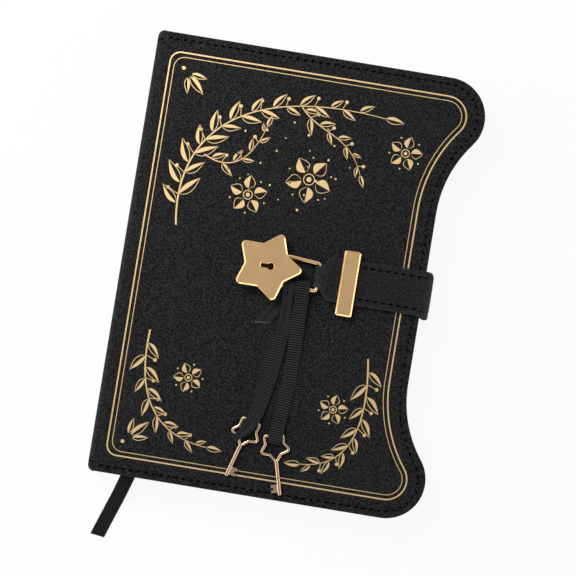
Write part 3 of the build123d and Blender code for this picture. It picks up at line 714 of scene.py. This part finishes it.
def ribbon_sheet(points, width, thick, rib, pitch, step, skew=0.0, ribs=EVERYWHERE, gather=None):
    """A ribbed ribbon on a line: the section is a flat oval, two plain edges and a ribbed middle whose height
    follows sin(2 * pi * length / pitch) in a span of Y and fades at its ends; its width lies level, square to
    the line seen from above. A skew moves the points of the last 3 mm along the line by skew * across, for a
    slanting cut. Gathered, the width is a share of itself that goes in straight lines between places in Y."""
    skewed = 0.003
    line, at = spaced(points, step)
    fit = np.polyfit(line[:, 1], line[:, 0], 5)
    slope = np.polyval(np.polyder(fit), line[:, 1])
    sides = unit(np.column_stack([np.ones(len(line)), -slope, np.zeros(len(line))]))
    tangent = unit(np.gradient(line, axis=0))
    ups = unit(np.cross(tangent, sides))
    sides = np.cross(ups, tangent)
    edge = np.array([1.0, 0.985, 0.94, 0.87])
    edge_height = np.array([0.35, 0.8, 1.0, 1.0])
    inside = np.ones(5)
    across = np.r_[-edge, -0.84, -0.5, 0.0, 0.5, 0.84, edge[::-1]]
    plain = np.r_[edge_height, 0.9 * inside, edge_height[::-1]]
    ribbed = np.r_[0.0 * edge, inside, 0.0 * edge]
    fade_in, fade_out = (line[:, 1] - ribs[0]) / RIB_FADE[0], (ribs[1] - line[:, 1]) / RIB_FADE[1]
    clear = np.clip(fade_out, 0.0, 1.0) * np.clip(fade_in, 0.0, 1.0)
    wave = (clear * np.sin(2.0 * math.pi * at / pitch))[:, None]
    top = thick / 2 * plain[None, :] + rib / 2 * ribbed[None, :] * wave
    drawn = np.interp(line[:, 1], gather[0], gather[1])[:, None] if gather else 1.0
    flat = np.broadcast_to(across * width / 2 * drawn, top.shape)
    upper, lower = np.stack([flat, top], -1), np.stack([flat[:, ::-1], -top[:, ::-1]], -1)
    section = np.concatenate([upper, lower], axis=1)
    verts, faces = sweep(line, sides, ups, section)
    around = section.shape[1]
    late = np.clip((at - at[-1]) / skewed + 1.0, 0.0, 1.0)
    verts += (skew * late[:, None, None] * section[..., 0:1] * tangent[:, None, :]).reshape(-1, 3)
    turn = np.concatenate([across, across[::-1]]) * 0.5 + 0.5
    uv = np.stack([np.repeat(at / pitch, around), np.tile(turn, len(line))], axis=1)
    return verts, faces, uv


def strap_path(depth, low_z, last):
    """Middle line of a strap layer in X and Z: out of the case, up the fore-edge, round a bend and along the
    cover. The outer layer goes on up a ramp, round the ring and back beneath itself."""
    side_x = STRAP_SIDE_X + depth
    over_z = STRAP_OVER_Z + depth
    small = 0.4 + depth
    large = 2.5 + depth
    root = arc((side_x - small, low_z + small), small, -90.0, 0.0, ROOT_POINTS)
    bend = arc((side_x - large, over_z - large), large, 0.0, 90.0, BEND_POINTS)
    parts = [[(STRAP_ROOT_X, low_z)], root, bend]
    if last == "lining":
        parts.append([(LINING_END_X, over_z)])
    else:
        fold = arc(FOLD_CENTRE, FOLD_RADIUS, 70.9, 270.0, 24)
        parts += [[(23.5, over_z), (22.0, over_z + 0.12)], fold, [STRAP_END]]
    return np.vstack(parts)


def strap_ups(line):
    """The way up off a strap layer at each point of its line in X and Z: square to the line."""
    tangent = unit(np.gradient(line, axis=0))
    return np.column_stack([tangent[:, 1], np.zeros(len(line)), -tangent[:, 0]])


def bell(distance, width):
    """A bell curve: exp(-(distance / width)^2)."""
    return np.exp(-((distance / width) ** 2))


def strap_edges(line, at):
    """Lower and upper edge of the strap along its path, from its middle line. The half width narrows to the
    ring. At the bend the lower edge stands out by a bell curve of the length; the upper edge draws in just
    below the bend, by a bell curve above and a straight line down to the root."""
    half = np.interp(line[:, 0], *STRAP_TAPER)
    at_bend = at[np.argmax(line[:, 0] + line[:, 1])]
    waist = at_bend - 3.0
    pinch = np.where(at > waist, bell(at - waist, 2.2), at / waist)
    return -half - STRAP_SLACK * bell(at - at_bend, 3.2), half - STRAP_PINCH * pinch, at_bend


def strap_sheet(depth, low_z, last):
    """One layer of the strap: a rounded flat section carried along its path between its two edges. On the
    outer layer two stitch lines sink in from the root to the bar. Its UV map carries how much paler it is
    painted: a painted highlight as a bell curve at the bend and as a level on the tab, and edge wear with a
    painted highlight as a bell curve at both edges."""
    line, at = spaced(strap_path(depth, low_z, last), 0.5)
    rows = len(line)
    sides = np.tile([0.0, 1.0, 0.0], (rows, 1))
    centres = np.column_stack([line[:, 0], np.full(rows, STRAP_Y), line[:, 1]])
    near, far, at_bend = strap_edges(line, at)
    near, far = near[:, None], far[:, None]
    inward = np.array([0.0, 0.05, 0.16, 0.36, 1.6, 2.75, 3.0, 3.2, 3.4, 3.65, 4.0, 4.9])
    curve = 0.36
    drop = curve - np.sqrt(np.maximum(0.0, curve**2 - np.maximum(0.0, curve - inward) ** 2))
    groove = 0.24 * bell(inward - STRAP_STITCH_INSET, 0.34)
    outside = (line[:, 0] > SEWN_FROM_X) & (np.arange(rows) < 0.62 * rows) & (last != "lining")
    sewn = np.where(outside, 1.0, 0.0)[:, None]
    crown = 0.1 * np.clip((inward - 3.6) / 1.2, 0.0, 1.0)
    height = LAYER / 2 - drop[None, :] - sewn * groove[None, :] + sewn * crown[None, :]
    under = -(LAYER / 2 - drop[None, :]) * np.ones((rows, 1))
    few = [0, 1, 2, 3, len(inward) - 1]
    back = few[::-1]
    across = [near + inward, far - inward[::-1], far - inward[few], near + inward[back]]
    levels = [height, height[:, ::-1], under[:, few], under[:, back]]
    section = np.stack([np.concatenate(across, axis=1), np.concatenate(levels, axis=1)], axis=-1)
    verts, faces = sweep(centres, sides, strap_ups(line), section)
    # Painted highlight on the tab and at the bend; wear with a painted highlight along both edges
    on_tab = np.clip((24.0 - line[:, 0]) / 4.0, 0.0, 1.0) * (line[:, 1] > 20.8)
    row_highlight = 0.3 * on_tab + 0.34 * bell(at - at_bend, 2.4)
    near_wear_and_highlight, far_wear_and_highlight = 0.5 * bell(inward, 0.8), 0.22 * bell(inward, 0.8)
    edge_wear_and_highlight = np.concatenate([near_wear_and_highlight, far_wear_and_highlight[::-1], far_wear_and_highlight[few], near_wear_and_highlight[back]])
    wear_and_highlight = np.clip(row_highlight[:, None] + edge_wear_and_highlight[None, :], 0.0, 1.0).ravel()
    return verts * MM, [face[::-1] for face in faces], np.column_stack([wear_and_highlight, wear_and_highlight])


def carry_along_y(profile, y):
    """Carry a closed profile in X and Z over places in Y, all in millimetres."""
    rows = len(y)
    section = np.broadcast_to(profile, (rows, len(profile), 2))
    centres = np.column_stack([np.zeros(rows), y, np.zeros(rows)])
    verts, faces = sweep(centres, np.tile([1.0, 0, 0], (rows, 1)), np.tile([0, 0, 1.0], (rows, 1)), section)
    return verts * MM, faces


def joint_strip(left, right, top, rise):
    """Leather over the cover's joint: across X the height is rise * (1 - q^2)^2 for q from -1 to 1, feathered
    into the skins on both sides, and the underside lies in the skins; carried along Y."""
    feather, sunk, inset = 0.03, 0.35, 0.35
    q = np.linspace(-1.0, 1.0, 17)
    x = (left + right) / 2 + q * (right - left) / 2
    upper = np.column_stack([x, top - feather + (rise + feather) * (1.0 - q**2) ** 2])
    lower = np.column_stack([x[::-1], np.full(len(q), top - sunk)])
    y = np.linspace(-HALF_HEIGHT + inset, HALF_HEIGHT - inset, 60)
    return carry_along_y(np.vstack([upper, lower]), y)


def guard_strip():
    """Paper guard that joins the first leaves to the cover: in X and Z a line along the block, round a
    corner, up the joint and in under the cover, given a thickness along its normal, and carried along Y."""
    half_thick, half_height = 0.035, 103.6
    corners = [arc((-77.1, z), 0.3, turn, turn - 90.0, 8) for z, turn in ((16.25, 270.0), (17.2, 180.0))]
    path = np.vstack([[(-74.8, 15.95), (-76.6, 15.95)], *corners, [(-76.4, 17.5)]])
    one, two = line_edges(spaced(path, 0.12)[0], half_thick)
    return carry_along_y(np.vstack([one, two[::-1]]), np.linspace(-half_height, half_height, 40))


def colour_setting(name, description, default):
    """A colour that the sidebar shows."""
    return bpy.props.FloatVectorProperty(
        name=name, description=description, subtype="COLOR", size=3, min=0, max=1, default=default
    )


def size_setting(name, description, default, unit="LENGTH"):
    """A length or an angle that the sidebar shows."""
    return bpy.props.FloatProperty(name=name, description=description, default=default, unit=unit)


class DiaryColours(bpy.types.PropertyGroup):
    """Colours of the diary's finishes."""

    leather: colour_setting("Leather", "Colour of the case and strap", (0.0082, 0.0082, 0.0084))
    thread: colour_setting("Thread", "Colour of the stitching", (0.0006, 0.0006, 0.0007))
    gold: colour_setting("Gold", "Colour of the bar, ring and lock", (0.75, 0.485, 0.237))
    key_gold: colour_setting("Key gold", "Colour of the keys", (0.49, 0.345, 0.222))
    foil: colour_setting("Foil", "Colour of the stamped foil", (0.78, 0.56, 0.28))
    ribbon: colour_setting("Ribbon", "Colour of the ribbons", (0.0128, 0.0128, 0.0133))
    paper: colour_setting("Paper", "Colour of the leaves", (0.80, 0.75, 0.64))


class DiarySizes(bpy.types.PropertyGroup):
    """Sizes of the diary's small work."""

    grain: size_setting("Leather grain", "Width of one cell of the grain", 0.0008)
    stitch_pitch: size_setting("Stitch pitch", "Distance between stitches on the covers", 0.00367)
    stitch_length: size_setting("Stitch length", "Length of one stitch", 0.0021)
    thread_width: size_setting("Thread width", "Thickness of the thread", 0.0013)
    foil_line: size_setting("Foil line", "Half width of the border's broad rule", 0.00034)
    foil_height: size_setting("Foil height", "Height of the foil over the leather", 0.00004)
    rib_pitch: size_setting("Rib pitch", "Distance between the ribbons' ribs", 0.0012)
    rib_height: size_setting("Rib height", "Height of the ribbons' ribs", 0.00018)
    camera_height: size_setting("Camera height", "Height of the camera over the cover", 0.774)
    camera_turn: size_setting(
        "Camera turn", "Turn of the camera about the upright axis", math.radians(9.34), "ROTATION"
    )


class DIARY_OT_stage(bpy.types.Operator):
    """Set up the floor, the lamps, the world and the camera over the diary"""

    bl_idname = "diary.stage"
    bl_label = "Stage"

    def execute(self, context):
        scene = context.scene
        sizes = scene.diary_sizes
        scene.view_settings.view_transform = "Standard"

        corners = [(x * FLOOR_HALF, y * FLOOR_HALF, 0.0) for x, y in ((-1, -1), (1, -1), (1, 1), (-1, 1))]
        floor_mesh = bpy.data.meshes.new("floor")
        floor_mesh.from_pydata(corners, [], [[0, 1, 2, 3]])
        floor = add_object("floor", floor_mesh)
        f = Finish("white_table")
        f.done(Base_Color=(0.86, 0.86, 0.86), Roughness=0.9, Specular_IOR_Level=0.0)
        share = f.seen() * FLOOR_GLOW
        glow = f.node("ShaderNodeEmission", {}, {"Color": (1.0, 1.0, 1.0), "Strength": 1.0})
        table = Signal(f, f.shader.outputs[0])
        blend = f.node("ShaderNodeMixShader", {}, {0: share, 1: table, 2: glow})
        f.feed(f.tree.nodes["Material Output"].inputs["Surface"], blend)
        floor_mesh.materials.append(f.material)

        scene.world = bpy.data.worlds.new("studio")
        w = Finish("studio", scene.world)
        _, _, upward = w.axes(w.node("ShaderNodeTexCoord", out="Generated"))
        reach = {"Value": upward, "From Min": 0.3, "From Max": 0.9, "To Min": 1.0, "To Max": 0.6}
        backdrop = w.node("ShaderNodeMapRange", {}, reach)
        seen = w.seen()
        w.done(Color=(1.0, 1.0, 1.0), Strength=seen * backdrop + (1.0 - seen) * ROOM_LIGHT)

        for name, spot, size, power in LAMPS:
            light = bpy.data.lights.new(name, "AREA")
            light.shape = "RECTANGLE"
            light.size, light.size_y = size
            light.energy = power
            lamp = add_object(name, light)
            lamp.location = spot
            x, y, z = np.array(LAMP_AIM) - np.array(spot)
            yaw = math.atan2(y, x)
            tilt = math.atan2(math.hypot(x, y), -z)
            lamp.rotation_euler = (tilt, 0.0, yaw - math.pi / 2)
            lamp.visible_camera = False

        camera = bpy.data.cameras.new("camera")
        camera.lens = 100.0
        camera.sensor_width = 36.0
        viewer = add_object("camera", camera)
        viewer.location = (*CAMERA_SPOT, sizes.camera_height + COVER_TOP * MM)
        viewer.rotation_euler = (0.0, 0.0, sizes.camera_turn)
        scene.camera = viewer
        return {"FINISHED"}


class DIARY_OT_ribbons(bpy.types.Operator):
    """Make the two key ribbons, their cut ends and the bookmark ribbon"""

    bl_idname = "diary.ribbons"
    bl_label = "Ribbons"

    def execute(self, context):
        sizes = context.scene.diary_sizes
        colour = context.scene.diary_colours.ribbon
        rib, pitch = sizes.rib_height, sizes.rib_pitch
        step = pitch / STEPS_PER_RIB
        for side, length, width, contrast, ribs, gather in RIBBON_STRANDS:
            finish = ribbon_finish(f"{side}_grosgrain", colour, contrast, ribs)
            points = spline_points(f"ribbon_{side}_line", RIBBON_ROUTES[side])
            sheet = ribbon_sheet(points, width, RIBBON_THICK, rib, pitch, step, 0.0, ribs, gather)
            ribbon = add_piece(f"ribbon_{side}_strand", sheet, finish)
            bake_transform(ribbon)
            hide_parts(f"ribbon_{side}")
            for tail, start, end, body, skew in RIBBON_TAILS[side]:
                flat = np.array([(*start, CUT_END_Z), (*end, CUT_END_Z)]) * MM
                low_rib = CUT_END_RIB * rib
                cut = ribbon_sheet(flat, CUT_END_WIDTH, RIBBON_THICK, low_rib, pitch, step, skew, ribs)
                name = f"ribbon_{side}_{tail}"
                cloth = finish
                if skew:
                    # From here to the cut, the sealed edge carries a painted highlight
                    sealed_highlight_from = cut[2][:, 0].max() - SEALED_HIGHLIGHT_RIBS
                    cloth = ribbon_finish(f"{name}_grosgrain", colour, contrast, ribs, sealed_highlight_from=float(sealed_highlight_from))
                add_piece(name, cut, cloth, body)
        tinted = tuple(s * c for s, c in zip(BOOKMARK_TINT, colour))
        finish = ribbon_finish("black_bookmark", tinted, 0.4, grainy=0.9)
        points = spline_points("bookmark_line", BOOKMARK_ROUTE)
        weave = {"thick": BOOKMARK_THICK, "pitch": BOOKMARK_PITCH}
        sheet = ribbon_sheet(points, width=0.0070, rib=0.00008, step=0.00015, skew=-0.2, **weave)
        tail = add_piece("bookmark_end", sheet, finish, "root")
        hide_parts("bookmark_tail")
        inner = np.array([(BOOKMARK_X, y, BOOKMARK_Z) for y in BOOKMARK_ENDS])
        sheet = ribbon_sheet(inner, width=0.0065, rib=0.00006, step=0.0003, **weave)
        marker = add_piece("bookmark_in_leaves", sheet, finish, "root")
        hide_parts("bookmark_ribbon")
        return {"FINISHED"}


class DIARY_OT_case(bpy.types.Operator):
    """Finish the case: leather skins, boards, endpapers and the leather over the front joint"""

    bl_idname = "diary.case"
    bl_label = "Case"

    def execute(self, context):
        colours = context.scene.diary_colours
        leather = leather_finish("case_leather", colours.leather, context.scene.diary_sizes.grain)
        paint(leather, "back_cover_skin", "spine_skin", "front_cover_skin")
        board = cloth_finish("grey_board", (0.22, 0.21, 0.19), 0.0011)
        paint(board, "back_cover_board", "spine_board", "front_cover_board")
        endpaper = endpaper_finish("black_endpaper", (0.016, 0.016, 0.017))
        paint(endpaper, "back_cover_lining", "front_cover_lining")
        shape = joint_strip(left=-78.4, right=-74.0, top=COVER_TOP, rise=0.1)
        strip = add_piece("front_joint_leather", shape, leather)
        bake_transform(strip)
        return {"FINISHED"}


class DIARY_OT_stitching(bpy.types.Operator):
    """Sew the covers' head, tail and shaped fore-edge"""

    bl_idname = "diary.stitching"
    bl_label = "Stitching"

    def execute(self, context):
        sizes = context.scene.diary_sizes
        thread = thread_finish("black_thread", context.scene.diary_colours.thread)
        drifts = (-STITCH_DRIFT, STITCH_DRIFT)
        outer, inner = (edge_line(STITCH_INSET + drift, STITCH_START_X) for drift in drifts)
        share = np.clip((outer[:, 0:1] - STITCH_DRIFT_FROM_X) / STITCH_DRIFT_OVER, 0.0, 1.0)
        edge = outer + share * (inner - outer)
        for name, body, level, way in STITCH_ROWS:
            path = np.column_stack([edge, np.full(len(edge), level)])
            tops = np.array([0.0, 1.0]), np.array([[0.0, 0.0, way]] * 2)
            verts, faces = stitch_row(path, tops, sizes.stitch_pitch / MM, sizes)
            add_piece(f"{name}_cover_stitches", (verts * MM, faces), thread, body)
        ends = np.array([[x, k * y, SPINE_STITCH_Z] for k in (-1.0, 1.0) for x, y in SPINE_STITCHES])
        shape, faces = stitch_shape(0.55 * sizes.stitch_length / MM, 0.85 * sizes.thread_width / MM, 0.15)
        frames = [np.tile(axis, (len(ends), 1)) for axis in np.eye(3)]
        verts, faces = stamp(shape, faces, ends, *frames)
        add_piece("spine_stitches", (verts * MM, faces), thread, "root")
        return {"FINISHED"}


class DIARY_OT_foil(bpy.types.Operator):
    """Stamp the gold foil border and leaf pattern on the front cover"""

    bl_idname = "diary.foil"
    bl_label = "Foil"

    def execute(self, context):
        sizes = context.scene.diary_sizes
        finish = foil_finish("gold_foil", context.scene.diary_colours.foil)
        shape = cover_foil(sizes.foil_line / MM, COVER_TOP - FOIL_DEPTH, COVER_TOP + sizes.foil_height / MM)
        add_piece("front_cover_foil", shape, finish, "front_cover")
        return {"FINISHED"}


class DIARY_OT_leaves(bpy.types.Operator):
    """Finish the sewn leaves, the flyleaves, the tapes and the bands at head and tail"""

    bl_idname = "diary.leaves"
    bl_label = "Leaves"

    def execute(self, context):
        colour = context.scene.diary_colours.paper
        ruled = paper_finish("ruled_paper", colour, True)
        plain = paper_finish("plain_paper", colour, False)
        paint(ruled, *[f"section_{k}" for k in range(1, 9)], "turned_leaf_1", "turned_leaf_2")
        paint(plain, "back_flyleaf", "front_flyleaf")
        guard = add_piece("leaf_guard", guard_strip(), plain)
        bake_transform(guard)
        paint(cloth_finish("sewing_tape", (0.62, 0.58, 0.48), 0.0008), "sewing_tapes")
        paint(cloth_finish("mull_lining", (0.55, 0.52, 0.45), 0.0012), "spine_lining")
        bands = cloth_finish("striped_band", (0.02, 0.02, 0.021), 0.0006, (0.5, 0.4, 0.22))
        paint(bands, "head_band", "tail_band")
        return {"FINISHED"}


class DIARY_OT_strap(bpy.types.Operator):
    """Make the closing strap: its two leather layers and its stitching"""

    bl_idname = "diary.strap"
    bl_label = "Strap"

    def execute(self, context):
        sizes = context.scene.diary_sizes
        colours = context.scene.diary_colours
        paint(leather_finish("anchor_leather", colours.leather, sizes.grain), "strap_anchor")
        # The strap's leather is painted paler where painted highlights and edge wear lie
        worn_with_highlights = leather_finish("strap_leather", shade(colours.leather, 1.16), sizes.grain, 0.75, True)
        for name, depth, low_z in STRAP_LAYERS:
            layer = add_piece(f"strap_{name}", strap_sheet(depth, low_z, name), worn_with_highlights)
            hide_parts(f"strap_side_{name}", f"strap_top_{name}")
            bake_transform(layer)
        thread = thread_finish("strap_thread", colours.thread)
        name, depth, low_z = STRAP_LAYERS[0]
        line = strap_path(depth + LAYER / 2 - STRAP_STITCH_SINK, low_z, name)[: 1 + ROOT_POINTS + BEND_POINTS]
        line, at = spaced(np.vstack([line, [(STRAP_END[0], line[-1, 1])]]), 0.25)
        tops = at, strap_ups(line)
        near, far, _ = strap_edges(line, at)
        rows = []
        for offset in (near + STRAP_STITCH_INSET, far - STRAP_STITCH_INSET):
            path = np.column_stack([line[:, 0], STRAP_Y + offset, line[:, 1]])
            rows.append(stitch_row(path, tops, STRAP_STITCH_PITCH, sizes))
        verts, faces = joined(rows)
        stitches = add_piece("strap_stitches", (verts * MM, faces), thread)
        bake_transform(stitches)
        return {"FINISHED"}


class DIARY_OT_metal(bpy.types.Operator):
    """Finish the bar, ring, star lock, its works, the strike and the keys"""

    bl_idname = "diary.metal"
    bl_label = "Metal"

    def execute(self, context):
        colours = context.scene.diary_colours
        gold = colours.gold
        paint(metal_finish("satin_gold", gold, 0.2, BRUSHED_IN_Y), "strap_bar", "star_face")
        paint(metal_finish("bright_gold", gold, 0.12, POLISHED, 0.04), "clasp_ring")
        # The back plate gets painted shade on its upward faces inside the keyhole
        paint(metal_finish("plate_gold", gold, 0.16, PLATE_LINES, 0.1, True), "star_back_plate")
        keys = metal_finish("key_gold", colours.key_gold, 0.06, POLISHED, 0.04)
        paint(keys, "key_left", "key_right")
        steel = metal_finish("bright_steel", (0.52, 0.51, 0.49), 0.24, BRUSHED_IN_X)
        paint(steel, "bar_pins", "strike_stud", "strike_washer")
        # The lock's works are near-black steel: painted shade, as they lie in shade inside the lock
        shaded_works_finish = metal_finish("painted_shade_steel", (0.05, 0.045, 0.04), 0.4, BRUSHED_IN_X)
        paint(shaded_works_finish, "lock_bolt", "bolt_spring")
        return {"FINISHED"}


class DIARY_PT_panel(bpy.types.Panel):
    """Lists the diary's operators and settings in the sidebar"""

    bl_idname = "DIARY_PT_panel"
    bl_label = "Lockable diary"
    bl_space_type = "VIEW_3D"
    bl_region_type = "UI"
    bl_category = "Diary"

    def draw(self, context):
        for operator in OPERATORS:
            self.layout.operator(operator.bl_idname)
        for group in (context.scene.diary_colours, context.scene.diary_sizes):
            for name in group.__annotations__:
                self.layout.prop(group, name)


OPERATORS = (
    DIARY_OT_stage, DIARY_OT_ribbons, DIARY_OT_case, DIARY_OT_stitching,
    DIARY_OT_foil, DIARY_OT_leaves, DIARY_OT_strap, DIARY_OT_metal,
)
CLASSES = (DiaryColours, DiarySizes, *OPERATORS, DIARY_PT_panel)


def register():
    for cls in CLASSES:
        bpy.utils.register_class(cls)
    bpy.types.Scene.diary_colours = bpy.props.PointerProperty(type=DiaryColours)
    bpy.types.Scene.diary_sizes = bpy.props.PointerProperty(type=DiarySizes)


def unregister():
    del bpy.types.Scene.diary_sizes
    del bpy.types.Scene.diary_colours
    for cls in reversed(CLASSES):
        bpy.utils.unregister_class(cls)


def main():
    register()
    bpy.ops.diary.stage()
    bpy.ops.diary.ribbons()
    bpy.ops.diary.case()
    bpy.ops.diary.stitching()
    bpy.ops.diary.foil()
    bpy.ops.diary.leaves()
    bpy.ops.diary.strap()
    bpy.ops.diary.metal()


if __name__ == "__main__":
    main()
